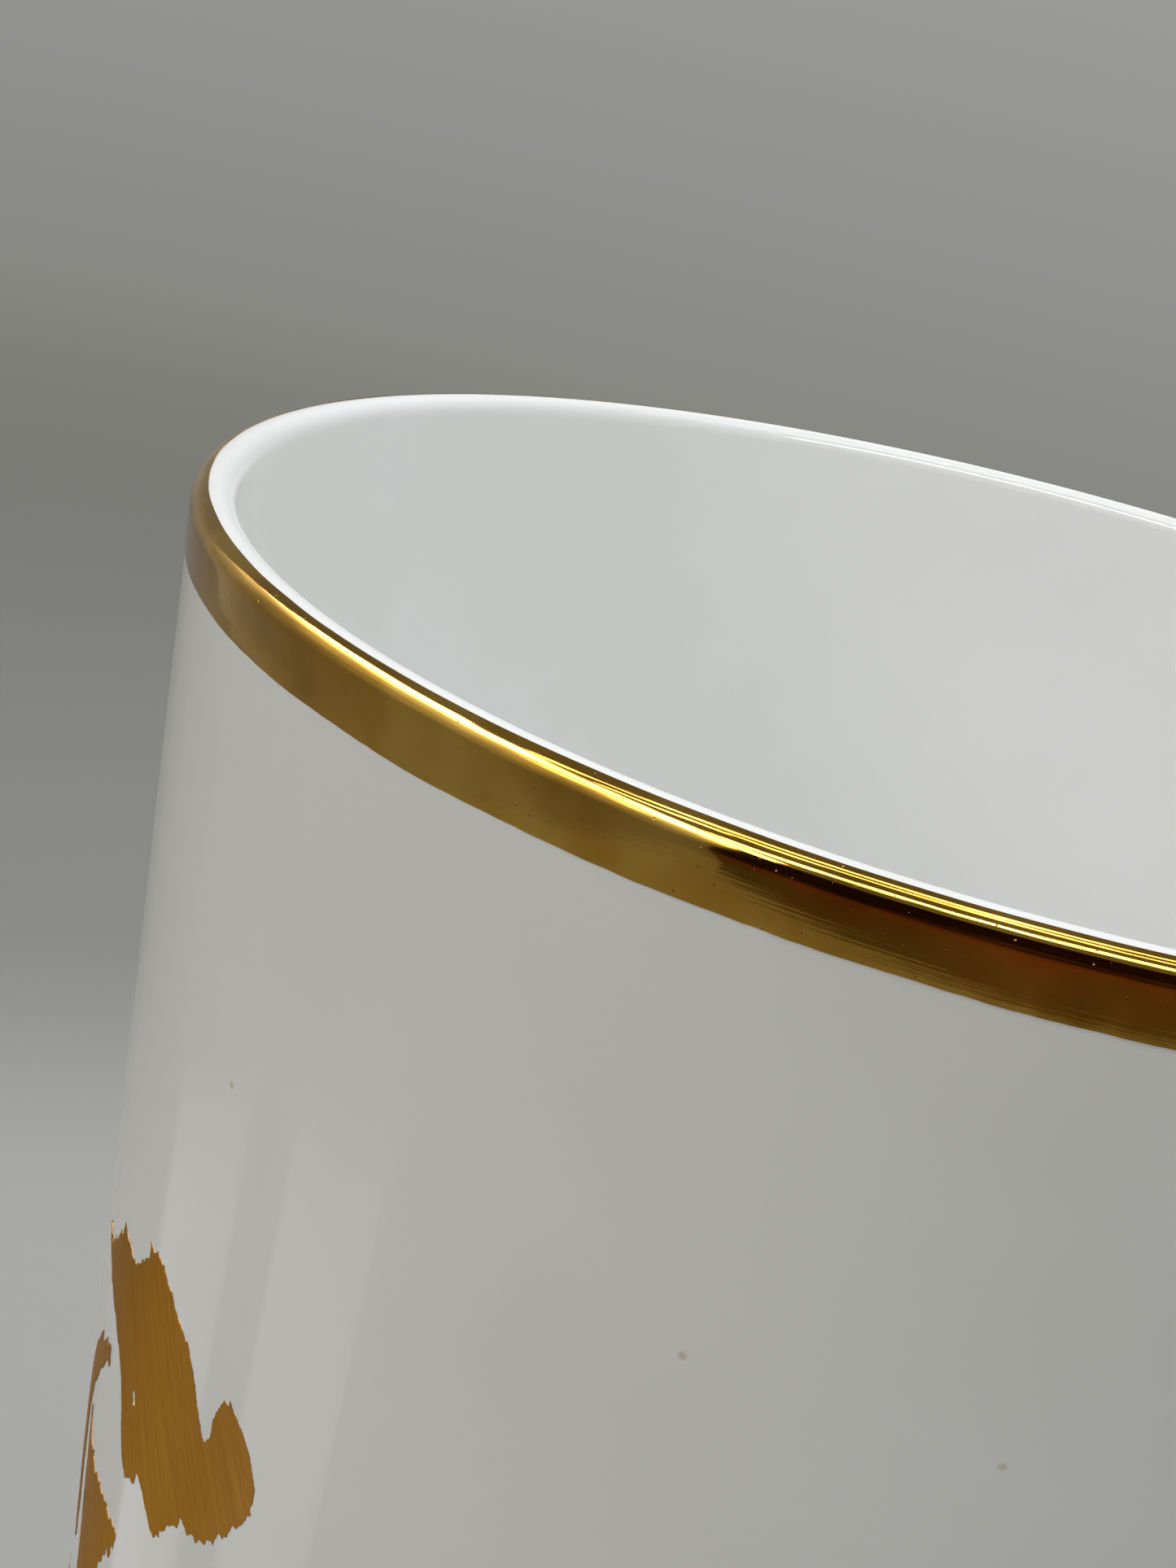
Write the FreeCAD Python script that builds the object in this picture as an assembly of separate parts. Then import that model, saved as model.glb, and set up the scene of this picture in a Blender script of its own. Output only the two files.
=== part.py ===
"""Tapered porcelain vase with a gilded rim and freehand gold brush marks.

Millimetres, +Z up. The origin is on the vase's axis, in the plane that the foot ring
stands on. The front, with the brush marks, faces -Y.

The wall is fired porcelain with a coat of glaze on each side and gold over the glaze.
Each layer's face is told by its height over the bare porcelain: 0 is the porcelain,
GLAZE is the face of the glaze, and GLAZE + GILT is the face of the gold.
"""

import FreeCAD
import Part
import math
import os

# The finished, glazed vase. Both radii are those of the straight outer face: at the
# height of the rim, and carried down to the table.
HEIGHT = 260.0
MOUTH_RADIUS = 60.0
BASE_RADIUS = 46.5
WALL = 3.0
FLOOR = 5.0
INSIDE_CORNER_RADIUS = 12.0

# The foot: a ring of bare porcelain under a rounded heel, with a glazed recess inside it.
HEEL_RADIUS = 5.0
FOOT_WIDTH = 3.2
RECESS_DEPTH = 2.4
RECESS_CORNER_RADIUS = 2.0
HEEL_GLAZE_ANGLE = -50.0  # round the heel: 0 points outwards, -90 down at the table
RECESS_GLAZE_ANGLE = 20.0  # round the recess's corner: 90 points up, 0 outwards

# Layers.
GLAZE = 0.25
GILT = 0.1

# The gold band, and the line under it where the inner and outer coats of glaze meet.
BAND_HEIGHT = 4.5
BAND_TOP_ANGLE = 70.0  # round the lip: 0 points outwards, 90 up at the crown
COAT_JOIN_DROP = 2.6

AXIS = FreeCAD.Vector(0, 0, 1)
CENTRE = FreeCAD.Vector(0, 0, 0)

TAPER = math.atan2(MOUTH_RADIUS - BASE_RADIUS, HEIGHT)
TAPER_DEGREES = math.degrees(TAPER)
FACING_OUT = -TAPER_DEGREES
FACING_IN = 180 - TAPER_DEGREES


def outer_radius(z, layer=GLAZE):
    """Radius of the outer face at height z."""
    return BASE_RADIUS + z * math.tan(TAPER) + (layer - GLAZE) / math.cos(TAPER)


def inner_radius(z, layer=GLAZE):
    """Radius of the inner face at height z."""
    return outer_radius(z) - (WALL + layer - GLAZE) / math.cos(TAPER)


# Centres of the rounds, as (radius, height).
LIP_RADIUS = WALL / 2
LIP_Z = HEIGHT - LIP_RADIUS
LIP = (outer_radius(LIP_Z) - LIP_RADIUS / math.cos(TAPER), LIP_Z)
HEEL = (outer_radius(HEEL_RADIUS, 0) - HEEL_RADIUS / math.cos(TAPER), HEEL_RADIUS)
FLOOR_TOP = RECESS_DEPTH + FLOOR
CORNER_Z = FLOOR_TOP + INSIDE_CORNER_RADIUS
CORNER = (inner_radius(CORNER_Z) - INSIDE_CORNER_RADIUS / math.cos(TAPER), CORNER_Z)
FOOT_INNER_RADIUS = HEEL[0] - FOOT_WIDTH
RECESS = (FOOT_INNER_RADIUS - RECESS_CORNER_RADIUS, RECESS_DEPTH - RECESS_CORNER_RADIUS)


def point(radius, z):
    return FreeCAD.Vector(radius, 0, z)


def on_circle(centre, radius, degrees):
    """The point of a circle round centre at an angle. 0 points outwards, 90 up."""
    angle = math.radians(degrees)
    return point(centre[0] + radius * math.cos(angle), centre[1] + radius * math.sin(angle))


class Section:
    """An outline in the XZ plane, drawn edge by edge and turned into a solid of revolution."""

    def __init__(self, radius, z):
        self.first = point(radius, z)
        self.last = self.first
        self.edges = []

    def line_to(self, target):
        if self.last.distanceToPoint(target) > 1e-6:
            self.edges.append(Part.makeLine(self.last, target))
            self.last = target

    def arc(self, centre, radius, start, end):
        """A line to the start of an arc round centre, then the arc, between two angles."""
        self.line_to(on_circle(centre, radius, start))
        middle = on_circle(centre, radius, (start + end) / 2)
        target = on_circle(centre, radius, end)
        self.edges.append(Part.Arc(self.last, middle, target).toShape())
        self.last = target

    def revolved(self):
        self.line_to(self.first)
        return Part.Face(Part.Wire(self.edges)).revolve(CENTRE, AXIS, 360)


def porcelain_body():
    """The fired porcelain under the glaze: wall, lip, floor and foot ring, cast in one."""
    section = Section(FOOT_INNER_RADIUS, 0)
    section.arc(HEEL, HEEL_RADIUS, -90, FACING_OUT)
    section.arc(LIP, LIP_RADIUS - GLAZE, FACING_OUT, FACING_IN)
    section.arc(CORNER, INSIDE_CORNER_RADIUS + GLAZE, FACING_OUT, -90)
    section.line_to(point(0, FLOOR_TOP - GLAZE))
    section.line_to(point(0, RECESS_DEPTH))
    section.arc(RECESS, RECESS_CORNER_RADIUS, 90, 0)
    return section.revolved()


def outer_glaze():
    """The coat outside, from the join under the gold band down to the line on the heel."""
    join_z = HEIGHT - COAT_JOIN_DROP
    section = Section(outer_radius(join_z, 0), join_z)
    section.arc(HEEL, HEEL_RADIUS, FACING_OUT, HEEL_GLAZE_ANGLE)
    section.arc(HEEL, HEEL_RADIUS + GLAZE, HEEL_GLAZE_ANGLE, FACING_OUT)
    section.line_to(point(outer_radius(join_z), join_z))
    return section.revolved()


def inner_glaze():
    """The coat inside, carried over the lip and down to the join under the gold band."""
    join_z = HEIGHT - COAT_JOIN_DROP
    section = Section(outer_radius(join_z, 0), join_z)
    section.line_to(point(outer_radius(join_z), join_z))
    section.arc(LIP, LIP_RADIUS, FACING_OUT, FACING_IN)
    section.arc(CORNER, INSIDE_CORNER_RADIUS, FACING_OUT, -90)
    section.line_to(point(0, FLOOR_TOP))
    section.line_to(point(0, FLOOR_TOP - GLAZE))
    section.arc(CORNER, INSIDE_CORNER_RADIUS + GLAZE, -90, FACING_OUT)
    section.arc(LIP, LIP_RADIUS - GLAZE, FACING_IN, FACING_OUT)
    return section.revolved()


def recess_glaze():
    """The coat under the floor, inside the foot ring."""
    section = Section(0, RECESS_DEPTH)
    section.arc(RECESS, RECESS_CORNER_RADIUS, 90, RECESS_GLAZE_ANGLE)
    section.arc(RECESS, RECESS_CORNER_RADIUS - GLAZE, RECESS_GLAZE_ANGLE, 90)
    section.line_to(point(0, RECESS_DEPTH - GLAZE))
    return section.revolved()


def rim_gold_band():
    """The gold on the outer half of the lip and on the face below it."""
    end_z = HEIGHT - BAND_HEIGHT
    section = Section(outer_radius(end_z), end_z)
    section.line_to(point(outer_radius(end_z, GLAZE + GILT), end_z))
    section.arc(LIP, LIP_RADIUS + GILT, FACING_OUT, BAND_TOP_ANGLE)
    section.arc(LIP, LIP_RADIUS, BAND_TOP_ANGLE, FACING_OUT)
    return section.revolved()


# Outlines of the brush marks, flat and in millimetres: (across, up) from the mark's middle.
DAUB = [
    (-15.0, 3.0), (-11.0, 4.6), (-8.6, 6.8), (-5.8, 6.2), (-1.0, 9.8), (2.8, 8.2), (6.4, 5.6),
    (9.0, 2.0), (10.6, 6.2), (13.8, 4.4), (15.0, 1.4), (12.6, -3.0), (9.6, -5.6), (6.4, -6.8),
    (3.8, -9.6), (1.0, -7.6), (-1.6, -9.0), (-5.0, -4.0), (-9.8, -0.4),
]
CURL = [
    (5.2, 10.6), (1.4, 9.4), (-2.4, 5.4), (-4.2, 0.2), (-3.8, -5.6), (-1.8, -11.2),
    (-1.6, -5.4), (-1.8, 0.0), (0.0, 4.2), (3.0, 7.6),
]
WEDGE = [
    (-4.6, 7.0), (0.2, 4.8), (7.2, 4.4), (5.0, 1.0), (2.6, -3.6), (-2.0, -9.6), (-3.4, -3.2),
]
STROKE = [
    (0.6, 13.0), (2.6, 7.0), (3.4, 0.6), (2.4, -5.6), (-0.6, -12.4), (-2.6, -6.0), (-2.8, 1.0),
    (-1.8, 8.0),
]
FLECK = [(-3.8, 0.6), (0.2, 2.2), (3.8, 1.0), (2.4, -1.0), (-1.4, -2.0)]

# Each mark's outline, its distance round the wall to the right of the front's centre
# line, its drop below the rim, the turn of its outline in degrees, and its size.
MARKS = {
    "upper_gold_daub": (DAUB, 14.0, 57.0, 0, 1.0),
    "upper_gold_curl": (CURL, -0.2, 71.2, 0, 1.0),
    "upper_gold_wedge": (WEDGE, 4.4, 76.0, 0, 1.0),
    "upper_gold_stroke": (STROKE, -14.0, 62.0, 22, 1.0),
    "upper_gold_fleck": (FLECK, -14.5, 43.5, 24, 1.0),
    "middle_gold_daub": (DAUB, -9.0, 99.0, 152, 0.95),
    "middle_gold_stroke": (STROKE, 12.0, 96.0, -24, 1.15),
    "middle_gold_curl": (CURL, 6.0, 122.0, 186, 1.1),
    "middle_gold_fleck": (FLECK, -21.0, 84.0, -36, 1.1),
    "lower_gold_wedge": (WEDGE, -9.0, 132.0, 200, 1.1),
    "lower_gold_stroke": (STROKE, 5.0, 156.0, 14, 1.2),
    "lower_gold_fleck": (FLECK, -6.0, 172.0, 70, 1.0),
}


def gold_skin():
    """A skin of gold over the straight wall, which the marks are cut from."""
    low = HEEL_RADIUS
    high = HEIGHT - BAND_HEIGHT
    section = Section(outer_radius(low), low)
    section.line_to(point(outer_radius(low, GLAZE + GILT), low))
    section.line_to(point(outer_radius(high, GLAZE + GILT), high))
    section.line_to(point(outer_radius(high), high))
    return section.revolved()


def gold_mark(skin, outline, across, drop, turn, size):
    """The part of the skin inside an outline, wrapped on the front and turned to its place."""
    middle_z = HEIGHT - drop
    radius = outer_radius(middle_z)
    cosine = math.cos(math.radians(turn))
    sine = math.sin(math.radians(turn))
    points = []
    for x, z in outline:
        around = size * (x * cosine - z * sine) / radius
        up = size * (x * sine + z * cosine)
        points.append(FreeCAD.Vector(radius * math.sin(around), 0, middle_z + up))
    edge = Part.BSplineCurve()
    edge.interpolate(Points=points, PeriodicFlag=True)
    outline_face = Part.Face(Part.Wire(edge.toShape()))
    mark = skin.common(outline_face.extrude(FreeCAD.Vector(0, -2 * radius, 0)))
    mark.rotate(CENTRE, AXIS, math.degrees(across / radius))
    return mark


def save(name, shape):
    shape.exportStep(f"parts/{name}.step")
    box = shape.optimalBoundingBox()
    print(f"{name}: {len(shape.Solids)} solid, valid {shape.isValid()}, {shape.Volume:.1f} mm3,")
    print(f"    z {box.ZMin:.2f} to {box.ZMax:.2f}, x {box.XMin:.2f} to {box.XMax:.2f}")


os.makedirs("parts", exist_ok=True)
save("porcelain_body", porcelain_body())
save("outer_glaze", outer_glaze())
save("inner_glaze", inner_glaze())
save("recess_glaze", recess_glaze())
save("rim_gold_band", rim_gold_band())
SKIN = gold_skin()
for mark_name, mark_values in MARKS.items():
    save(mark_name, gold_mark(SKIN, *mark_values))
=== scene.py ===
"""Looks of a tapered porcelain vase with a gilded rim and freehand gold brush marks.

Metres, +Z up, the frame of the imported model: the axis is at X = Y = 0, the foot ring
stands on Z = 0 and the front, with the brush marks, faces -Y.
"""

import bmesh
import bpy
import math
from mathutils import Matrix, Vector, noise
from mathutils.bvhtree import BVHTree


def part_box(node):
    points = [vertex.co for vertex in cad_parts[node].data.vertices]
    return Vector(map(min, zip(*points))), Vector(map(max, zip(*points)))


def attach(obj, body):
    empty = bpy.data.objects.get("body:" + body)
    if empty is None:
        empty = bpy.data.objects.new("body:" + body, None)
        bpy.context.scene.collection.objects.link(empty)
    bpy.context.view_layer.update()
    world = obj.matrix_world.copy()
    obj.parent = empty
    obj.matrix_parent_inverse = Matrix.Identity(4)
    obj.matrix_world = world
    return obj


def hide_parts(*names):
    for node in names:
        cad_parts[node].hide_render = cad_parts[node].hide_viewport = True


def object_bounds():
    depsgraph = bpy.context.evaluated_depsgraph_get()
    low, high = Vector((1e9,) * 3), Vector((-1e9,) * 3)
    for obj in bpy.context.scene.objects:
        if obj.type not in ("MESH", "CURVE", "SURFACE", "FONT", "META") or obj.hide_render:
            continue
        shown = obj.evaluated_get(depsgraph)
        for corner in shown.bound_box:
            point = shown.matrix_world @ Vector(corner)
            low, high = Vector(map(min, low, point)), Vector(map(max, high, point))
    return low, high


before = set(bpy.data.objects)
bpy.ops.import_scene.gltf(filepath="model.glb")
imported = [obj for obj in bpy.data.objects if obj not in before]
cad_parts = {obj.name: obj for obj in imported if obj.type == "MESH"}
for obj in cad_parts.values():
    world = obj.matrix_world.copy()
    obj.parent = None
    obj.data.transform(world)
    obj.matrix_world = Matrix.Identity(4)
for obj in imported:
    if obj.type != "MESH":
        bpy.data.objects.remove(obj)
cad_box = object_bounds()

# ---------------------------------------------------------------------------------------
# Porcelain body: one slip-cast piece of hard porcelain, the wall, lip, floor and foot ring
# together. Glaze covers it all but the foot ring, which is wiped bare before firing so
# that it doesn't stick to the kiln shelf, and then rubbed smooth.

MM = 0.001
HEIGHT = cad_box[1].z
MOUTH_RADIUS = 60 * MM
BASE_RADIUS = 46.5 * MM
WALL = 3 * MM
FLOOR = 5 * MM
INSIDE_CORNER_RADIUS = 12 * MM
HEEL_RADIUS = 5 * MM
FOOT_WIDTH = 3.2 * MM
FOOT_EDGE_RADIUS = 0.5 * MM
RECESS_DEPTH = 2.4 * MM
RECESS_CORNER_RADIUS = 1.4 * MM
GLAZE = 0.25 * MM
TURNS = 256  # steps in a full spin

TAPER = math.atan2(MOUTH_RADIUS - BASE_RADIUS, HEIGHT)
FACING_OUT = -math.degrees(TAPER)
FACING_IN = 180 - math.degrees(TAPER)


def outer_radius(z):
    """Radius of the glazed outer face at a height."""
    return BASE_RADIUS + z * math.tan(TAPER)


def inner_radius(z):
    """Radius of the glazed inner face at a height."""
    return outer_radius(z) - WALL / math.cos(TAPER)


LIP_RADIUS = WALL / 2
LIP_Z = HEIGHT - LIP_RADIUS
LIP = (outer_radius(LIP_Z) - LIP_RADIUS / math.cos(TAPER), LIP_Z)
HEEL_TO_GLAZE = HEEL_RADIUS + GLAZE
HEEL = (outer_radius(HEEL_RADIUS) - HEEL_TO_GLAZE / math.cos(TAPER), HEEL_RADIUS)
FLOOR_TOP = RECESS_DEPTH + FLOOR
CORNER_Z = FLOOR_TOP + INSIDE_CORNER_RADIUS
CORNER = (inner_radius(CORNER_Z) - INSIDE_CORNER_RADIUS / math.cos(TAPER), CORNER_Z)
FOOT_INNER = HEEL[0] - FOOT_WIDTH
RECESS = (FOOT_INNER - RECESS_CORNER_RADIUS, RECESS_DEPTH - RECESS_CORNER_RADIUS)


def arc(centre, radius, start, end, steps):
    """Points of an arc, as (radius, height). 0 degrees points outwards and 90 up."""
    angles = [math.radians(start + (end - start) * i / steps) for i in range(steps + 1)]
    return [(centre[0] + radius * math.cos(a), centre[1] + radius * math.sin(a)) for a in angles]


def wall_rows(radius_at, low, high, steps):
    """Points up a straight wall, so that its faces aren't drawn out long and thin."""
    rows = [low + (high - low) * i / steps for i in range(1, steps)]
    return [(radius_at(z), z) for z in rows]


def spun(section, closed=False, steps=TURNS):
    """A mesh under construction: a section of (radius, height) points turned on the axis."""
    bm = bmesh.new()
    verts = [bm.verts.new((radius, 0, z)) for radius, z in section]
    pairs = list(zip(verts, verts[1:]))
    if closed:
        pairs.append((verts[-1], verts[0]))
    edges = [bm.edges.new(pair) for pair in pairs]
    bmesh.ops.spin(
        bm, geom=verts + edges, cent=(0, 0, 0), axis=(0, 0, 1), dvec=(0, 0, 0),
        angle=2 * math.pi, steps=steps, use_merge=True,
    )
    bmesh.ops.remove_doubles(bm, verts=bm.verts, dist=0.001 * MM)
    bmesh.ops.recalc_face_normals(bm, faces=bm.faces)
    return bm


def finished(bm, name, material, sharp=35):
    """The built mesh as a smooth-shaded piece that stands for its CAD node."""
    if bm.calc_volume(signed=True) < 0:
        bmesh.ops.reverse_faces(bm, faces=bm.faces)
    mesh = bpy.data.meshes.new(name)
    bm.to_mesh(mesh)
    bm.free()
    mesh.shade_smooth()
    mesh.set_sharp_from_angle(angle=math.radians(sharp))
    mesh.materials.append(material)
    piece = bpy.data.objects.new("vase_" + name, mesh)
    bpy.context.scene.collection.objects.link(piece)
    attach(piece, "root")
    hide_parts(name)
    return piece


def linear(code):
    """An sRGB hex colour as the linear colour that a shader takes."""
    channels = [int(code[i:i + 2], 16) / 255 for i in (1, 3, 5)]
    return [c / 12.92 if c < 0.04045 else ((c + 0.055) / 1.055) ** 2.4 for c in channels] + [1]


def socket(sockets, key):
    """A node's socket by number, or by its name among those that its settings leave in use."""
    if isinstance(key, int):
        return sockets[key]
    return next((s for s in sockets if s.name == key and s.enabled), None)


def add(tree, kind, settings=None, links=None):
    """Adds a node. Settings are its properties, a ramp's stops or its inputs' values, and
    links give, for an input, the node and output that feed it."""
    node = tree.nodes.new(kind)
    for key, value in (settings or {}).items():
        if key == "stops":
            while len(node.color_ramp.elements) < len(value):
                node.color_ramp.elements.new(0.5)
            for stop, (position, colour) in zip(node.color_ramp.elements, value):
                stop.position = position
                stop.color = colour
        elif socket(node.inputs, key):
            socket(node.inputs, key).default_value = value
        else:
            setattr(node, key, value)
    for key, (source, name) in (links or {}).items():
        tree.links.new(socket(source.outputs, name), socket(node.inputs, key))
    return node


def material_tree(name):
    """A new material's node tree, with nothing in it but its output."""
    material = bpy.data.materials.new(name)
    material.use_nodes = True
    tree = material.node_tree
    tree.nodes.clear()
    return material, tree, add(tree, "ShaderNodeOutputMaterial")


def grey(level):
    return [level, level, level, 1]


# Biscuit porcelain: hard white clay fired without glaze. Its fine grain scatters light
# with no shine, and the rubbed ring has picked up a little grey and tan from shelves.
biscuit, tree, output = material_tree("biscuit_porcelain")
GRAIN = 0.25 * MM
SMUDGE = 9 * MM
place = add(tree, "ShaderNodeTexCoord")
grain = add(
    tree, "ShaderNodeTexNoise", {"Scale": 1 / GRAIN, "Detail": 3}, {"Vector": (place, "Object")}
)
smudge = add(
    tree, "ShaderNodeTexNoise", {"Scale": 1 / SMUDGE, "Detail": 5}, {"Vector": (place, "Object")}
)
tone = add(
    tree, "ShaderNodeValToRGB",
    {"stops": [(0.42, linear("#EFECE4")), (0.62, linear("#D9D3C6"))]},
    {"Fac": (smudge, "Fac")},
)
dark_grains = add(
    tree, "ShaderNodeMapRange",
    {"From Min": 0.58, "From Max": 0.78, "To Min": 0.0, "To Max": 0.35},
    {"Value": (grain, "Fac")},
)
speckled = add(
    tree, "ShaderNodeMix", {"data_type": "RGBA", "B": linear("#A99F8C")},
    {"Factor": (dark_grains, "Result"), "A": (tone, "Color")},
)
tooth = add(
    tree, "ShaderNodeBump", {"Strength": 0.6, "Distance": 0.03 * MM},
    {"Height": (grain, "Fac")},
)
shader = add(
    tree, "ShaderNodeBsdfPrincipled", {"Roughness": 0.78, "IOR": 1.5},
    {"Base Color": (speckled, "Result"), "Normal": (tooth, "Normal")},
)
tree.links.new(shader.outputs["BSDF"], output.inputs["Surface"])

body_section = [(0, RECESS_DEPTH)]
body_section += arc(RECESS, RECESS_CORNER_RADIUS, 90, 0, 8)
body_section += arc(
    (FOOT_INNER + FOOT_EDGE_RADIUS, FOOT_EDGE_RADIUS), FOOT_EDGE_RADIUS, 180, 270, 6
)
body_section += arc(HEEL, HEEL_RADIUS, -90, FACING_OUT, 16)
body_section += arc(LIP, LIP_RADIUS - GLAZE, FACING_OUT, FACING_IN, 16)
body_section += arc(CORNER, INSIDE_CORNER_RADIUS + GLAZE, FACING_OUT, -90, 12)
body_section += [(0, FLOOR_TOP - GLAZE)]
finished(spun(body_section), "porcelain_body", biscuit)

# ---------------------------------------------------------------------------------------
# Glaze: a clear coat a quarter of a millimetre thick, poured inside and out and fired
# on. It stops in a soft bead on the heel and in another inside the foot ring, and the
# inner and outer coats meet under the gold band.

# Glazed white porcelain: glass over white clay, so a white diffuse colour under a sharp
# reflection. The glaze is a little uneven, greener where it is thick at the foot, and
# holds a few faint iron specks and pinholes.
glazed, tree, output = material_tree("clear_glazed_porcelain")
RIPPLE = 22 * MM
ORANGE_PEEL = 1.6 * MM
SPECK_SPACING = 7 * MM
SPECK_RADIUS = 0.35 * MM
SPECK_FREE = 0.72  # the share of cells without a speck
SPECK_DEPTH = 0.008 * MM
place = add(tree, "ShaderNodeTexCoord")
ripple = add(
    tree, "ShaderNodeTexNoise", {"Scale": 1 / RIPPLE, "Detail": 2}, {"Vector": (place, "Object")}
)
peel = add(
    tree, "ShaderNodeTexNoise", {"Scale": 1 / ORANGE_PEEL, "Detail": 2},
    {"Vector": (place, "Object")},
)
speck = add(
    tree, "ShaderNodeTexVoronoi", {"Scale": 1 / SPECK_SPACING, "Randomness": 1.0},
    {"Vector": (place, "Object")},
)
speck_size = SPECK_RADIUS / SPECK_SPACING
speck_shape = add(
    tree, "ShaderNodeMapRange",
    {"From Min": speck_size, "From Max": 0.3 * speck_size, "To Min": 0.0, "To Max": 1.0},
    {"Value": (speck, "Distance")},
)
speck_pick = add(tree, "ShaderNodeSeparateColor", {}, {"Color": (speck, "Color")})
speck_chosen = add(
    tree, "ShaderNodeMath", {"operation": "GREATER_THAN", 1: SPECK_FREE},
    {0: (speck_pick, "Red")},
)
speck_mask = add(
    tree, "ShaderNodeMath", {"operation": "MULTIPLY"},
    {0: (speck_shape, "Result"), 1: (speck_chosen, "Value")},
)
faint_speck = add(
    tree, "ShaderNodeMath", {"operation": "MULTIPLY", 1: 0.45}, {0: (speck_mask, "Value")}
)
height = add(tree, "ShaderNodeSeparateXYZ", {}, {"Vector": (place, "Object")})
pooled = add(
    tree, "ShaderNodeMapRange",
    {"From Min": 9 * MM, "From Max": 1 * MM, "To Min": 0.0, "To Max": 1.0},
    {"Value": (height, "Z")},
)
white = add(
    tree, "ShaderNodeValToRGB",
    {"stops": [(0.35, linear("#F8F8F7")), (0.65, linear("#F5F5F3"))]},
    {"Fac": (ripple, "Fac")},
)
with_pool = add(
    tree, "ShaderNodeMix", {"data_type": "RGBA", "B": linear("#DCE4DE")},
    {"Factor": (pooled, "Result"), "A": (white, "Color")},
)
with_specks = add(
    tree, "ShaderNodeMix", {"data_type": "RGBA", "B": linear("#B9975C")},
    {"Factor": (faint_speck, "Value"), "A": (with_pool, "Result")},
)
gloss = add(
    tree, "ShaderNodeMapRange",
    {"From Min": 0.3, "From Max": 0.7, "To Min": 0.05, "To Max": 0.10},
    {"Value": (ripple, "Fac")},
)
wave = add(
    tree, "ShaderNodeBump", {"Strength": 1.0, "Distance": 0.03 * MM},
    {"Height": (ripple, "Fac")},
)
skin = add(
    tree, "ShaderNodeBump", {"Strength": 1.0, "Distance": 0.0006 * MM},
    {"Height": (peel, "Fac"), "Normal": (wave, "Normal")},
)
pinhole = add(
    tree, "ShaderNodeBump", {"Strength": 1.0, "Distance": SPECK_DEPTH, "invert": True},
    {"Height": (speck_mask, "Value"), "Normal": (skin, "Normal")},
)
shader = add(
    tree, "ShaderNodeBsdfPrincipled", {"IOR": 1.5},
    {
        "Base Color": (with_specks, "Result"), "Roughness": (gloss, "Result"),
        "Normal": (pinhole, "Normal"),
    },
)
tree.links.new(shader.outputs["BSDF"], output.inputs["Surface"])

COAT_JOIN = HEIGHT - 2.6 * MM
HEEL_GLAZE_ANGLE = -50
RECESS_GLAZE_ANGLE = 20
WALL_ROWS = 48

join_outer = (outer_radius(COAT_JOIN), COAT_JOIN)
join_inner = (outer_radius(COAT_JOIN) - GLAZE / math.cos(TAPER), COAT_JOIN)
bead_angle = math.radians(HEEL_GLAZE_ANGLE)
bead_reach = HEEL_RADIUS + GLAZE / 2
bead = (HEEL[0] + bead_reach * math.cos(bead_angle), HEEL[1] + bead_reach * math.sin(bead_angle))
outer_section = [join_inner]
outer_section += arc(HEEL, HEEL_RADIUS, FACING_OUT, HEEL_GLAZE_ANGLE, 8)
outer_section += arc(bead, GLAZE / 2, HEEL_GLAZE_ANGLE - 150, HEEL_GLAZE_ANGLE - 30, 6)
outer_section += arc(HEEL, HEEL_TO_GLAZE, HEEL_GLAZE_ANGLE, FACING_OUT, 10)
outer_section += wall_rows(outer_radius, HEEL_RADIUS, COAT_JOIN, WALL_ROWS)
outer_section += [join_outer]
finished(spun(outer_section, closed=True), "outer_glaze", glazed)

inner_section = [(0, FLOOR_TOP)]
inner_section += arc(CORNER, INSIDE_CORNER_RADIUS, -90, FACING_OUT, 14)
inner_section += wall_rows(inner_radius, CORNER_Z, LIP_Z, WALL_ROWS)
inner_section += arc(LIP, LIP_RADIUS, FACING_IN, FACING_OUT, 24)
inner_section += [join_outer, join_inner]
inner_section += arc(LIP, LIP_RADIUS - GLAZE, FACING_OUT, FACING_IN, 16)
inner_section += arc(CORNER, INSIDE_CORNER_RADIUS + GLAZE, FACING_OUT, -90, 12)
inner_section += [(0, FLOOR_TOP - GLAZE)]
finished(spun(inner_section), "inner_glaze", glazed)

recess_section = [(0, RECESS_DEPTH)]
recess_section += arc(RECESS, RECESS_CORNER_RADIUS, 90, RECESS_GLAZE_ANGLE, 8)
recess_section += arc(RECESS, RECESS_CORNER_RADIUS - GLAZE, RECESS_GLAZE_ANGLE, 90, 8)
recess_section += [(0, RECESS_DEPTH - GLAZE)]
finished(spun(recess_section), "recess_glaze", glazed)

# ---------------------------------------------------------------------------------------
# Rim band: liquid bright gold, laid on the lip's outer half with a brush while the vase
# turns on a wheel, and fired on over the glaze. The brush leaves fine lines round the
# band, and its edges waver by a tenth of a millimetre.

BAND_FOOT = HEIGHT - 4.5 * MM
BAND_TOP_ANGLE = 70
BAND_THICKNESS = 0.05 * MM
BAND_TURNS = 1080
EDGE_WAVER = 0.09 * MM
WAVER_LENGTH = 7 * MM

# Bright gold: a film of fired gold. It mirrors its surroundings in a deep yellow, which
# turns browner where the film is thin, and the brush lines and dust pits break it up.
gold, tree, output = material_tree("fired_bright_gold")
BRUSH_LINE = 0.22 * MM
BRUSH_RUN = 30 * MM
FILM_PATCH = 9 * MM
FILM_CROWN = 14  # how quickly the film falls away either side of its middle, per metre
FILM_MIDDLE = HEIGHT - 2.6 * MM
PIT_SPACING = 1.0 * MM
PIT_RADIUS = 0.08 * MM
PIT_FREE = 0.65  # the share of cells without a pit
place = add(tree, "ShaderNodeTexCoord")
turning = add(
    tree, "ShaderNodeMapping", {"Scale": (1 / BRUSH_RUN, 1 / BRUSH_RUN, 0)},
    {"Vector": (place, "Object")},
)
across = add(tree, "ShaderNodeSeparateXYZ", {}, {"Vector": (place, "UV")})
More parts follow.
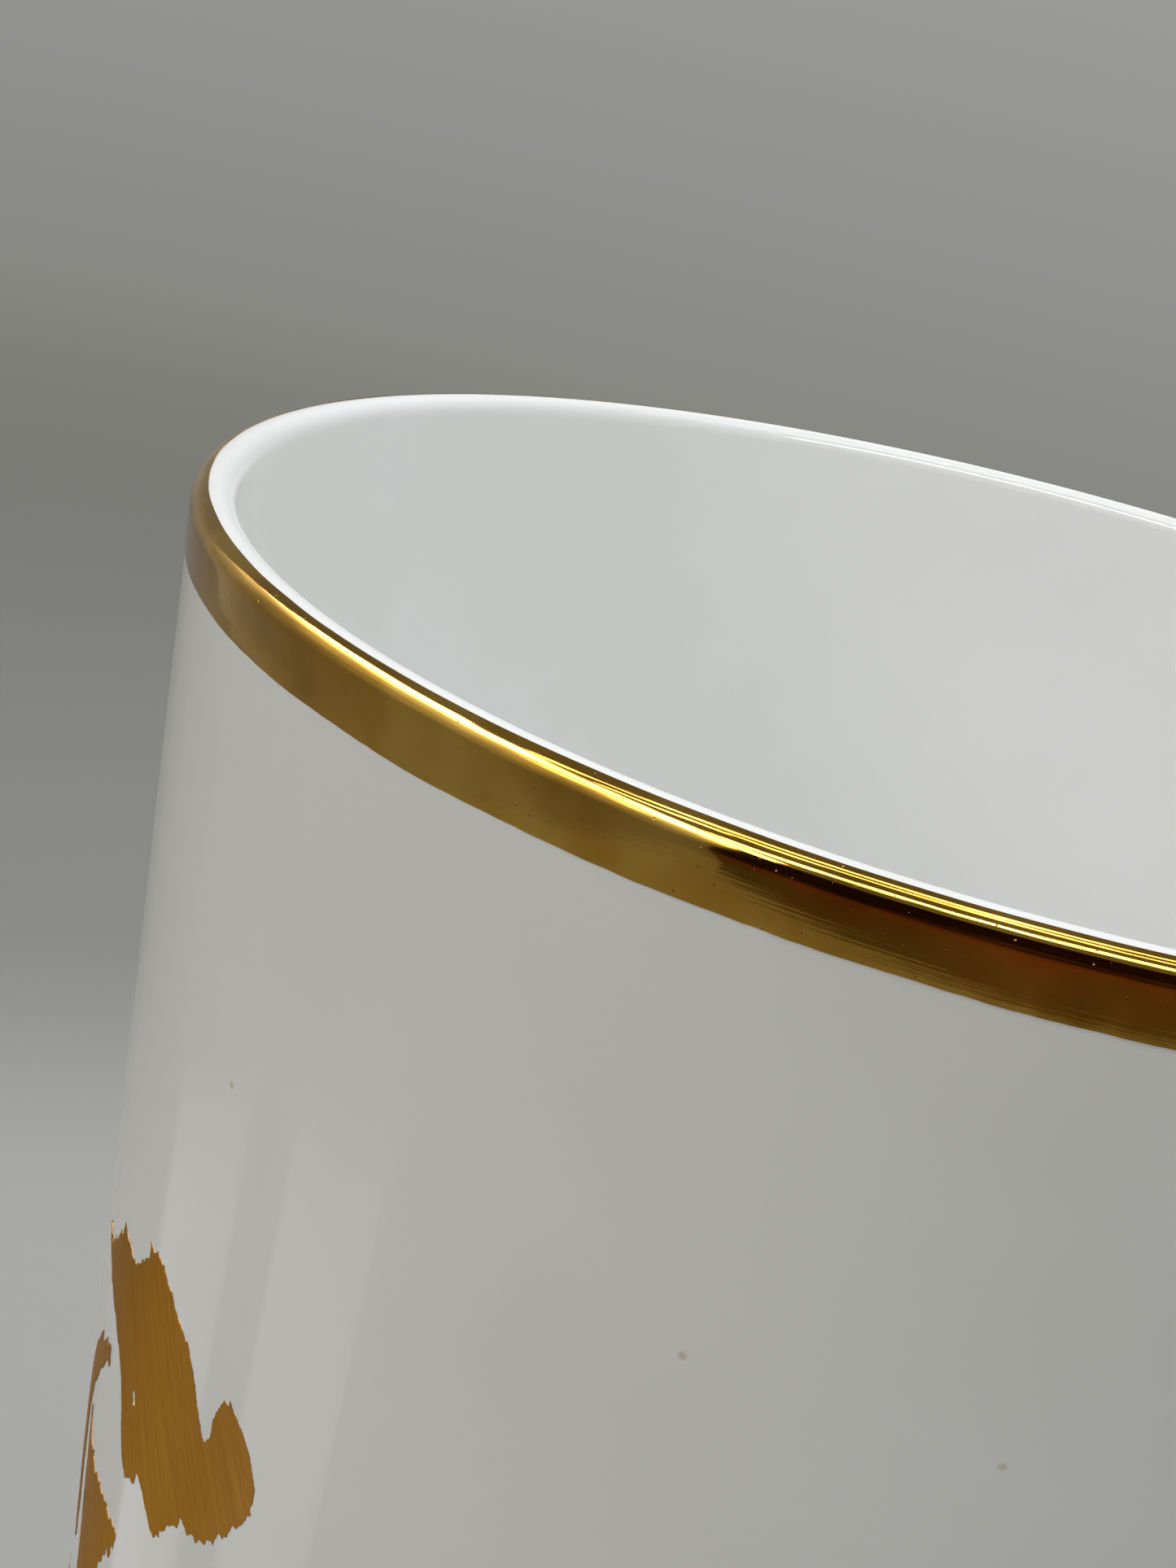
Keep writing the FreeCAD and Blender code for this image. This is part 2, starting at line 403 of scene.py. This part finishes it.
line_at = add(
    tree, "ShaderNodeMath", {"operation": "MULTIPLY", 1: 1 / BRUSH_LINE},
    {0: (across, "Y")},
)
line_place = add(tree, "ShaderNodeCombineXYZ", {}, {"Z": (line_at, "Value")})
streak_place = add(
    tree, "ShaderNodeVectorMath", {"operation": "ADD"},
    {0: (turning, "Vector"), 1: (line_place, "Vector")},
)
streak = add(
    tree, "ShaderNodeTexNoise", {"Scale": 1.0, "Detail": 3, "Roughness": 0.6},
    {"Vector": (streak_place, "Vector")},
)
patch = add(
    tree, "ShaderNodeTexNoise", {"Scale": 1 / FILM_PATCH, "Detail": 3},
    {"Vector": (place, "Object")},
)
pit = add(
    tree, "ShaderNodeTexVoronoi", {"voronoi_dimensions": "2D", "Scale": 1 / PIT_SPACING},
    {"Vector": (place, "UV")},
)
pit_luck = add(tree, "ShaderNodeSeparateXYZ", {}, {"Vector": (pit, "Color")})
pit_reach = add(
    tree, "ShaderNodeMapRange",
    {"From Min": PIT_FREE, "From Max": 1.0, "To Min": 0.0, "To Max": PIT_RADIUS / PIT_SPACING},
    {"Value": (pit_luck, "X")},
)
pit_depth = add(
    tree, "ShaderNodeMath", {"operation": "SUBTRACT"},
    {0: (pit_reach, "Result"), 1: (pit, "Distance")},
)
pit_shape = add(
    tree, "ShaderNodeMapRange",
    {"From Min": 0.0, "From Max": 0.5 * PIT_RADIUS / PIT_SPACING},
    {"Value": (pit_depth, "Value")},
)
film = add(
    tree, "ShaderNodeValToRGB",
    {"stops": [
        (0.36, linear("#B98B36")), (0.50, linear("#D3A244")), (0.64, linear("#E6B858")),
    ]},
    {"Fac": (patch, "Fac")},
)
pitted = add(
    tree, "ShaderNodeMix", {"data_type": "RGBA", "B": linear("#6A4A22")},
    {"Factor": (pit_shape, "Result"), "A": (film, "Color")},
)
gloss = add(
    tree, "ShaderNodeMapRange",
    {"From Min": 0.3, "From Max": 0.75, "To Min": 0.03, "To Max": 0.10},
    {"Value": (streak, "Fac")},
)
off_middle = add(
    tree, "ShaderNodeMath", {"operation": "SUBTRACT", 1: FILM_MIDDLE}, {0: (across, "Y")}
)
off_squared = add(
    tree, "ShaderNodeMath", {"operation": "POWER", 1: 2}, {0: (off_middle, "Value")}
)
crown_drop = add(
    tree, "ShaderNodeMath", {"operation": "MULTIPLY", 1: -FILM_CROWN}, {0: (off_squared, "Value")}
)
crown = add(
    tree, "ShaderNodeBump", {"Strength": 1.0, "Distance": 1.0}, {"Height": (crown_drop, "Value")}
)
thickness = add(
    tree, "ShaderNodeBump", {"Strength": 1.0, "Distance": 0.05 * MM},
    {"Height": (patch, "Fac"), "Normal": (crown, "Normal")},
)
brushed = add(
    tree, "ShaderNodeBump", {"Strength": 1.0, "Distance": 0.005 * MM},
    {"Height": (streak, "Fac"), "Normal": (thickness, "Normal")},
)
holed = add(
    tree, "ShaderNodeBump", {"Strength": 1.0, "Distance": 0.02 * MM, "invert": True},
    {"Height": (pit_shape, "Result"), "Normal": (brushed, "Normal")},
)
shader = add(
    tree, "ShaderNodeBsdfPrincipled", {"Metallic": 1.0},
    {
        "Base Color": (pitted, "Result"), "Roughness": (gloss, "Result"),
        "Normal": (holed, "Normal"),
    },
)
tree.links.new(shader.outputs["BSDF"], output.inputs["Surface"])

WAVER_FADE = 1.2 * MM
band_section = [(outer_radius(BAND_FOOT), BAND_FOOT)]
band_section += wall_rows(outer_radius, BAND_FOOT, LIP_Z, 12)
band_section += arc(LIP, LIP_RADIUS, FACING_OUT, BAND_TOP_ANGLE, 14)
band_bm = spun(band_section, steps=BAND_TURNS)
band_uv = band_bm.loops.layers.uv.new("band")
top_edge_radius = band_section[-1][0]
for face in band_bm.faces:
    for loop in face.loops:
        x, y, z = loop.vert.co
        drop = outer_radius(z) - math.hypot(x, y)
        loop[band_uv].uv = (math.atan2(y, x) * MOUTH_RADIUS, z + drop)
for vert in band_bm.verts:
    x, y, z = vert.co
    around = Vector((x, y, 0)) / WAVER_LENGTH
    foot_share = max(0, 1 - (z - BAND_FOOT) / WAVER_FADE)
    vert.co.z += EDGE_WAVER * foot_share * noise.noise(around)
    vert.co.z += 0.4 * EDGE_WAVER * foot_share * noise.noise(around * 6)
    radius = math.hypot(x, y)
    if radius < top_edge_radius + 0.02 * MM and z > LIP_Z:
        slide = 0.6 * EDGE_WAVER * noise.noise(around * 1.5 + Vector((0, 0, 9)))
        vert.co.x += slide * x / radius
        vert.co.y += slide * y / radius
bmesh.ops.solidify(band_bm, geom=band_bm.faces[:], thickness=-BAND_THICKNESS)
finished(band_bm, "rim_gold_band", gold, sharp=50)

# ---------------------------------------------------------------------------------------
# Brush marks: twelve marks in thin bright gold, laid freehand over the glaze with a
# stiff, nearly dry brush and fired on. Bristles leave ragged ends and fine bare gaps.

# Brushed gold: the same fired gold laid thinly, so it is satin, browner than the band,
# and lined along the way that the brush went.
thin_gold, tree, output = material_tree("brushed_thin_gold")
BRISTLE = 0.35 * MM
BRISTLE_RUN = 9 * MM
WASH = 5 * MM
place = add(tree, "ShaderNodeTexCoord")
along = add(
    tree, "ShaderNodeMapping", {"Scale": (1 / BRISTLE_RUN, 1 / BRISTLE, 1)},
    {"Vector": (place, "UV")},
)
bristles = add(
    tree, "ShaderNodeTexNoise", {"Scale": 1.0, "Detail": 4, "Roughness": 0.6},
    {"Vector": (along, "Vector")},
)
wash = add(
    tree, "ShaderNodeTexNoise", {"Scale": 1 / WASH, "Detail": 3}, {"Vector": (place, "Object")}
)
lining = add(
    tree, "ShaderNodeValToRGB",
    {"stops": [(0.30, linear("#A07438")), (0.70, linear("#B88644"))]},
    {"Fac": (bristles, "Fac")},
)
washed = add(
    tree, "ShaderNodeMix", {"data_type": "RGBA", "B": linear("#A8783A")},
    {"Factor": (wash, "Fac"), "A": (lining, "Color")},
)
gloss = add(
    tree, "ShaderNodeMapRange",
    {"From Min": 0.3, "From Max": 0.7, "To Min": 0.42, "To Max": 0.28},
    {"Value": (bristles, "Fac")},
)
ridges = add(
    tree, "ShaderNodeBump", {"Strength": 1.0, "Distance": 0.02 * MM},
    {"Height": (bristles, "Fac")},
)
shader = add(
    tree, "ShaderNodeBsdfPrincipled", {"Metallic": 1.0, "Specular Tint": linear("#E6CCA8")},
    {
        "Base Color": (washed, "Result"), "Roughness": (gloss, "Result"),
        "Normal": (ridges, "Normal"),
    },
)
tree.links.new(shader.outputs["BSDF"], output.inputs["Surface"])

# The way each brush mark was pulled, in degrees from level, turning left from the right.
MARKS = {
    "upper_gold_daub": 123,
    "upper_gold_curl": 75,
    "upper_gold_wedge": 112,
    "upper_gold_stroke": 110,
    "upper_gold_fleck": 24,
    "middle_gold_daub": 155,
    "middle_gold_stroke": 66,
    "middle_gold_curl": 80,
    "middle_gold_fleck": -36,
    "lower_gold_wedge": 118,
    "lower_gold_stroke": 104,
    "lower_gold_fleck": 70,
}
CELL = 0.22 * MM
TUFT = 1.0 * MM  # width of a group of bristles that lifts off together
RAGGED = 1.0 * MM  # how far one group's end may lie past its neighbour's
GAP_LIMIT = 0.84  # the share of bristle noise over which the brush left the glaze bare
MARK_SINK = 0.02 * MM
MARK_THICKNESS = 0.07 * MM


def inside_mark(outline, across, z, mark_radius):
    """True where the CAD mark's outline covers a place on the unrolled wall."""
    angle = across / mark_radius - math.pi / 2
    outwards = Vector((math.cos(angle), math.sin(angle), 0))
    start = outwards * 2 * MOUTH_RADIUS + Vector((0, 0, z))
    return outline.ray_cast(start, -outwards, 1.5 * MOUTH_RADIUS)[0] is not None


def brush_mark(name, pull):
    """A mark as a brush leaves it: the CAD outline, with its ends pulled out in tufts."""
    low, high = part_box(name)
    mark_radius = outer_radius((low.z + high.z) / 2)
    edges = [mark_radius * math.asin(x / mark_radius) for x in (low.x, high.x)]
    width = edges[1] - edges[0] + 2 * RAGGED
    tall = high.z - low.z + 2 * RAGGED
    middle = Vector(((edges[0] + edges[1]) / 2, (low.z + high.z) / 2, 0))
    pulled = Vector((math.cos(math.radians(pull)), math.sin(math.radians(pull)), 0))
    sideways = Vector((-pulled.y, pulled.x, 0))
    seed = Vector((0, 0, 7 * list(MARKS).index(name)))
    outline = BVHTree.FromObject(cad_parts[name], bpy.context.evaluated_depsgraph_get())

    bm = bmesh.new()
    bmesh.ops.create_grid(
        bm, x_segments=round(width / CELL), y_segments=round(tall / CELL), size=0.5
    )
    bmesh.ops.scale(bm, vec=(width, tall, 1), verts=bm.verts)
    bmesh.ops.translate(bm, vec=middle, verts=bm.verts)
    bare = []
    for face in bm.faces:
        centre = face.calc_center_median()
        tuft = centre.dot(sideways) / TUFT
        run = centre.dot(pulled) / BRISTLE_RUN
        reach = noise.noise(Vector((tuft, 0, 0)) + seed)
        reach += 0.5 * noise.noise(Vector((3 * tuft, 1, 0)) + seed)
        edge_place = centre + pulled * RAGGED * reach
        covered = inside_mark(outline, edge_place.x, edge_place.y, mark_radius)
        dry = noise.noise(Vector((1.6 * tuft, 2.2 * run, 5)) + seed)
        if not covered or dry > GAP_LIMIT:
            bare.append(face)
    bmesh.ops.delete(bm, geom=bare, context="FACES")
    pinched = [v for v in bm.verts if len(v.link_faces) == 2 and len(v.link_edges) == 4]
    bmesh.ops.delete(bm, geom=pinched, context="VERTS")
    for _ in range(4):
        rim = [v for v in bm.verts if v.is_boundary]
        bmesh.ops.smooth_vert(
            bm, verts=rim, factor=0.5, use_axis_x=True, use_axis_y=True, use_axis_z=False
        )
    uv = bm.loops.layers.uv.new("brush")
    for face in bm.faces:
        for loop in face.loops:
            loop[uv].uv = (loop.vert.co.dot(pulled), loop.vert.co.dot(sideways))
    for vert in bm.verts:
        across, z = vert.co.x, vert.co.y
        angle = across / mark_radius - math.pi / 2
        radius = outer_radius(z) - MARK_SINK
        vert.co = (radius * math.cos(angle), radius * math.sin(angle), z)
    bmesh.ops.recalc_face_normals(bm, faces=bm.faces)
    if sum((f.normal.y for f in bm.faces)) > 0:
        bmesh.ops.reverse_faces(bm, faces=bm.faces)
    bmesh.ops.solidify(bm, geom=bm.faces[:], thickness=-MARK_THICKNESS)
    finished(bm, name, thin_gold, sharp=50)


for mark_name, pull_angle in MARKS.items():
    brush_mark(mark_name, pull_angle)

# ---------------------------------------------------------------------------------------
# Stage: a matt floor with a painted pool of light, its colour paler near the vase as if
# lit more there and greyer farther out, that fades, away from the vase, into an even grey
# studio. Round it stand cards that only reflections see: they give the gold and the glaze
# something to mirror, and light nothing else.

FLOOR_RADIUS = 2.0
# Radii of the painted pool of light on the floor: full out to the first, gone by the second.
PAINTED_POOL_FULL_TO = 0.32
PAINTED_POOL_GONE_FROM = 0.50
FADE_FROM = 0.40
FADE_TO = 1.50
floor_material, tree, output = material_tree("studio_floor")
place = add(tree, "ShaderNodeTexCoord")
distance = add(tree, "ShaderNodeVectorMath", {"operation": "LENGTH"}, {0: (place, "Object")})
# Painted pool of light: the floor's colour is paler close to the vase and turns grey farther out,
# as if more light fell near it.
out_of_painted_pool = add(
    tree, "ShaderNodeMapRange",
    {"interpolation_type": "SMOOTHSTEP", "From Min": PAINTED_POOL_FULL_TO, "From Max": PAINTED_POOL_GONE_FROM},
    {"Value": (distance, "Value")},
)
floor_tone_with_painted_pool = add(
    tree, "ShaderNodeMix",
    {"data_type": "RGBA", "A": linear("#AAA8A4"), "B": linear("#8D8C88")},
    {"Factor": (out_of_painted_pool, "Result")},
)
shader = add(
    tree, "ShaderNodeBsdfPrincipled", {"Roughness": 0.9, "Specular IOR Level": 0.1},
    {"Base Color": (floor_tone_with_painted_pool, "Result")},
)
faded = add(
    tree, "ShaderNodeMapRange",
    {"interpolation_type": "SMOOTHSTEP", "From Min": FADE_FROM, "From Max": FADE_TO},
    {"Value": (distance, "Value")},
)
clear = add(tree, "ShaderNodeBsdfTransparent")
faded_floor = add(
    tree, "ShaderNodeMixShader", {}, {0: (faded, "Result"), 1: (shader, "BSDF"), 2: (clear, "BSDF")}
)
tree.links.new(faded_floor.outputs["Shader"], output.inputs["Surface"])


def staged(bm, name, material):
    """The built mesh as part of the studio."""
    mesh = bpy.data.meshes.new(name)
    bm.to_mesh(mesh)
    bm.free()
    mesh.materials.append(material)
    item = bpy.data.objects.new(name, mesh)
    bpy.context.scene.collection.objects.link(item)
    return item


floor_bm = bmesh.new()
bmesh.ops.create_circle(floor_bm, cap_ends=True, radius=FLOOR_RADIUS, segments=96)
staged(floor_bm, "studio_floor", floor_material)

GLOW_TOP = 20  # the power at which a card's ramp of powers is full


def reflected_card(name, corners, tones, patchy=0.0, start=1.0):
    """A glowing card that only reflections see, its tones running from its lower edge up.

    The corners go round it from the lower left, patchy shifts its tones in clouds, and
    start is how bright its left end is for a right end of one.
    """
    material, tree, output = material_tree(name)
    place = add(tree, "ShaderNodeTexCoord")
    share = add(tree, "ShaderNodeSeparateXYZ", {}, {"Vector": (place, "UV")})
    cloud = add(
        tree, "ShaderNodeTexNoise", {"Scale": 9.0, "Detail": 3}, {"Vector": (place, "Object")}
    )
    shift = add(
        tree, "ShaderNodeMapRange",
        {"From Min": 0.3, "From Max": 0.7, "To Min": -patchy, "To Max": patchy},
        {"Value": (cloud, "Fac")},
    )
    height = add(
        tree, "ShaderNodeMath", {"operation": "ADD"}, {0: (share, "Y"), 1: (shift, "Result")}
    )
    tone = add(
        tree, "ShaderNodeValToRGB",
        {"stops": [(at, linear(code)) for at, code, _ in tones]}, {"Fac": (height, "Value")},
    )
    level = add(
        tree, "ShaderNodeValToRGB",
        {"stops": [(at, grey(power / GLOW_TOP)) for at, _, power in tones]},
        {"Fac": (height, "Value")},
    )
    power = add(
        tree, "ShaderNodeMath", {"operation": "MULTIPLY", 1: GLOW_TOP}, {0: (level, "Color")}
    )
    strength = add(
        tree, "ShaderNodeMapRange", {"To Min": start, "To Max": 1.0}, {"Value": (share, "X")}
    )
    graded = add(
        tree, "ShaderNodeMath", {"operation": "MULTIPLY"},
        {0: (power, "Value"), 1: (strength, "Result")},
    )
    shader = add(
        tree, "ShaderNodeEmission", {}, {"Color": (tone, "Color"), "Strength": (graded, "Value")}
    )
    tree.links.new(shader.outputs["Emission"], output.inputs["Surface"])
    bm = bmesh.new()
    face = bm.faces.new([bm.verts.new(corner) for corner in corners])
    uv = bm.loops.layers.uv.new("card")
    for loop, at in zip(face.loops, [(0, 0), (1, 0), (1, 1), (0, 1)]):
        loop[uv].uv = at
    bmesh.ops.subdivide_edges(bm, edges=bm.edges, cuts=7, use_grid_fill=True)
    card = staged(bm, name, material)
    card.visible_camera = False
    card.visible_diffuse = False
    card.visible_shadow = False


def standing(azimuth, distance, width, low, high):
    """The corners of an upright card that faces the vase from one direction."""
    turn = math.radians(azimuth)
    centre = Vector((math.cos(turn), math.sin(turn), 0)) * distance
    aside = Vector((-math.sin(turn), math.cos(turn), 0)) * width / 2
    down = Vector((0, 0, low))
    up = Vector((0, 0, high))
    return [centre - aside + down, centre + aside + down, centre + aside + up, centre - aside + up]


CARD_CEILING = 1.16
STRIP_AZIMUTH = -14
STRIP_WIDTH = 1.1


def overhead(near, far):
    """The corners of a level strip high over the rim, from its far edge to its near one."""
    turn = math.radians(STRIP_AZIMUTH)
    out = Vector((math.cos(turn), math.sin(turn), 0))
    aside = Vector((-math.sin(turn), math.cos(turn), 0)) * STRIP_WIDTH / 2
    up = Vector((0, 0, CARD_CEILING))
    outer, inner = out * far + up, out * near + up
    return [outer - aside, outer + aside, inner + aside, inner - aside]


# The dark card is a warm, dim room beside the vase, and the window card a tall window.
reflected_card(
    "dark_front_card", standing(-14, 0.46, 0.80, 0, 0.66),
    [
        (0.0, "#8C8468", 0.56), (0.08, "#94785A", 0.54), (0.18, "#A86A4C", 0.54),
        (0.30, "#A4644A", 0.42), (0.37, "#7A4E34", 0.12), (0.43, "#A0705A", 0.22),
        (0.50, "#7A4E34", 0.12), (1.0, "#7A4E34", 0.10),
    ],
    patchy=0.06, start=0.42,
)
reflected_card(
    "window_card", standing(-101, 0.50, 1.16, 0, 1.0),
    [
        (0.0, "#FFFFFF", 0.145), (0.28, "#FFFFFF", 0.145), (0.45, "#FFFFFF", 0.29),
        (0.62, "#FFFFFF", 0.8), (0.76, "#FFFFFF", 5), (0.84, "#FFFFFF", 14), (0.92, "#FFFFFF", 7),
        (1.0, "#FFFFFF", 1),
    ],
    patchy=0.05, start=2.0,
)
reflected_card(
    "outer_strip", overhead(0.38, 0.54),
    [(0.0, "#FFFFFF", 2), (0.5, "#FFFFFF", 15), (1.0, "#FFFFFF", 16)],
)
reflected_card("first_strip", overhead(0.0, 0.05), [(0.0, "#FFFFFF", 7), (1.0, "#FFFFFF", 7)])
reflected_card("second_strip", overhead(-0.21, -0.15), [(0.0, "#FFFFFF", 7), (1.0, "#FFFFFF", 7)])

SHEET_HEIGHT = 0.001


def on_floor(first, last, near, far):
    """The corners of a sheet on the floor between two directions from the vase."""
    turns = [math.radians(azimuth) for azimuth in (first, last)]
    ends = [Vector((math.cos(turn), math.sin(turn), 0)) for turn in turns]
    up = Vector((0, 0, SHEET_HEIGHT))
    return [ends[0] * far + up, ends[1] * far + up, ends[1] * near + up, ends[0] * near + up]


reflected_card(
    "pale_sheet", on_floor(-108, -90, 0.12, 0.42),
    [
        (0.0, "#FFFFFF", 0.40), (0.2, "#FFFFFF", 0.84), (0.6, "#FFFFFF", 0.92),
        (1.0, "#FFFFFF", 0.50),
    ],
)
reflected_card(
    "second_sheet", on_floor(-138, -118, 0.12, 0.42),
    [
        (0.0, "#FFFFFF", 0.40), (0.2, "#FFFFFF", 0.70), (0.6, "#FFFFFF", 0.78),
        (1.0, "#FFFFFF", 0.45),
    ],
)

# ---------------------------------------------------------------------------------------
# Light: soft squares above, behind and to the left front, which no mirror shows, and an
# even grey studio all round, a little paler at the horizon.

RIM_CENTRE = Vector((0, 0, HEIGHT))
LIGHT_DISTANCE = 0.90


def soft_light(name, azimuth, elevation, size, watts, tint, distance=LIGHT_DISTANCE):
    """A square light facing the rim from one direction, that no mirror shows."""
    turn = math.radians(azimuth)
    rise = math.radians(elevation)
    level = Vector((math.cos(turn), math.sin(turn), 0))
    outwards = level * math.cos(rise) + Vector((0, 0, math.sin(rise)))
    data = bpy.data.lights.new(name, "AREA")
    data.shape = "SQUARE"
    data.size = size
    data.energy = watts
    data.color = linear(tint)[:3]
    light = bpy.data.objects.new(name, data)
    light.location = RIM_CENTRE + distance * outwards
    light.rotation_euler = outwards.to_track_quat("Z", "Y").to_euler()
    light.visible_glossy = False
    bpy.context.scene.collection.objects.link(light)


soft_light("ceiling", 46, 68, 0.7, 5.2, "#F6FAFF", distance=0.95)
soft_light("back_light", 165, 42, 0.5, 5.4, "#F6FAFF")
soft_light("fill_light", -78, 34, 0.6, 2.5, "#FFFCF6")

world = bpy.data.worlds.new("grey_studio")
world.use_nodes = True
tree = world.node_tree
tree.nodes.clear()
direction = add(tree, "ShaderNodeTexCoord")
upwards = add(tree, "ShaderNodeSeparateXYZ", {}, {"Vector": (direction, "Generated")})
rise = add(
    tree, "ShaderNodeMapRange", {"From Min": -1.0, "From Max": 1.0}, {"Value": (upwards, "Z")}
)
sky = add(
    tree, "ShaderNodeValToRGB",
    {"stops": [
        (0.29, linear("#888782")), (0.40, linear("#858580")), (0.46, linear("#929290")),
        (0.51, linear("#9B9C99")), (0.62, linear("#8A8A86")), (0.80, linear("#777773")),
    ]},
    {"Fac": (rise, "Result")},
)
background = add(tree, "ShaderNodeBackground", {"Strength": 1.0}, {"Color": (sky, "Color")})
add(tree, "ShaderNodeOutputWorld", {}, {"Surface": (background, "Background")})
bpy.context.scene.world = world
bpy.context.scene.view_settings.view_transform = "Standard"

# ---------------------------------------------------------------------------------------
# Camera: close above the rim and to the vase's left, rolled a little to one side.

CAMERA_LENS = 56.05
CAMERA_AZIMUTH = math.radians(62.07)
CAMERA_FROM_AXIS = 0.1723
CAMERA_ABOVE_RIM = 0.0407
CAMERA_YAW = math.radians(71.60)
CAMERA_PITCH = math.radians(-19.38)
CAMERA_ROLL = math.radians(13.20)

camera_data = bpy.data.cameras.new("camera")
camera_data.lens = CAMERA_LENS
camera_data.sensor_width = 36
camera_data.clip_start = 0.01
camera_data.clip_end = 20
camera = bpy.data.objects.new("camera", camera_data)
camera_place = Vector((
    CAMERA_FROM_AXIS * math.sin(CAMERA_AZIMUTH),
    -CAMERA_FROM_AXIS * math.cos(CAMERA_AZIMUTH),
    HEIGHT + CAMERA_ABOVE_RIM,
))
camera.matrix_world = (
    Matrix.Translation(camera_place)
    @ Matrix.Rotation(CAMERA_YAW, 4, "Z")
    @ Matrix.Rotation(math.pi / 2 + CAMERA_PITCH, 4, "X")
    @ Matrix.Rotation(CAMERA_ROLL, 4, "Z")
)
bpy.context.scene.collection.objects.link(camera)
bpy.context.scene.camera = camera
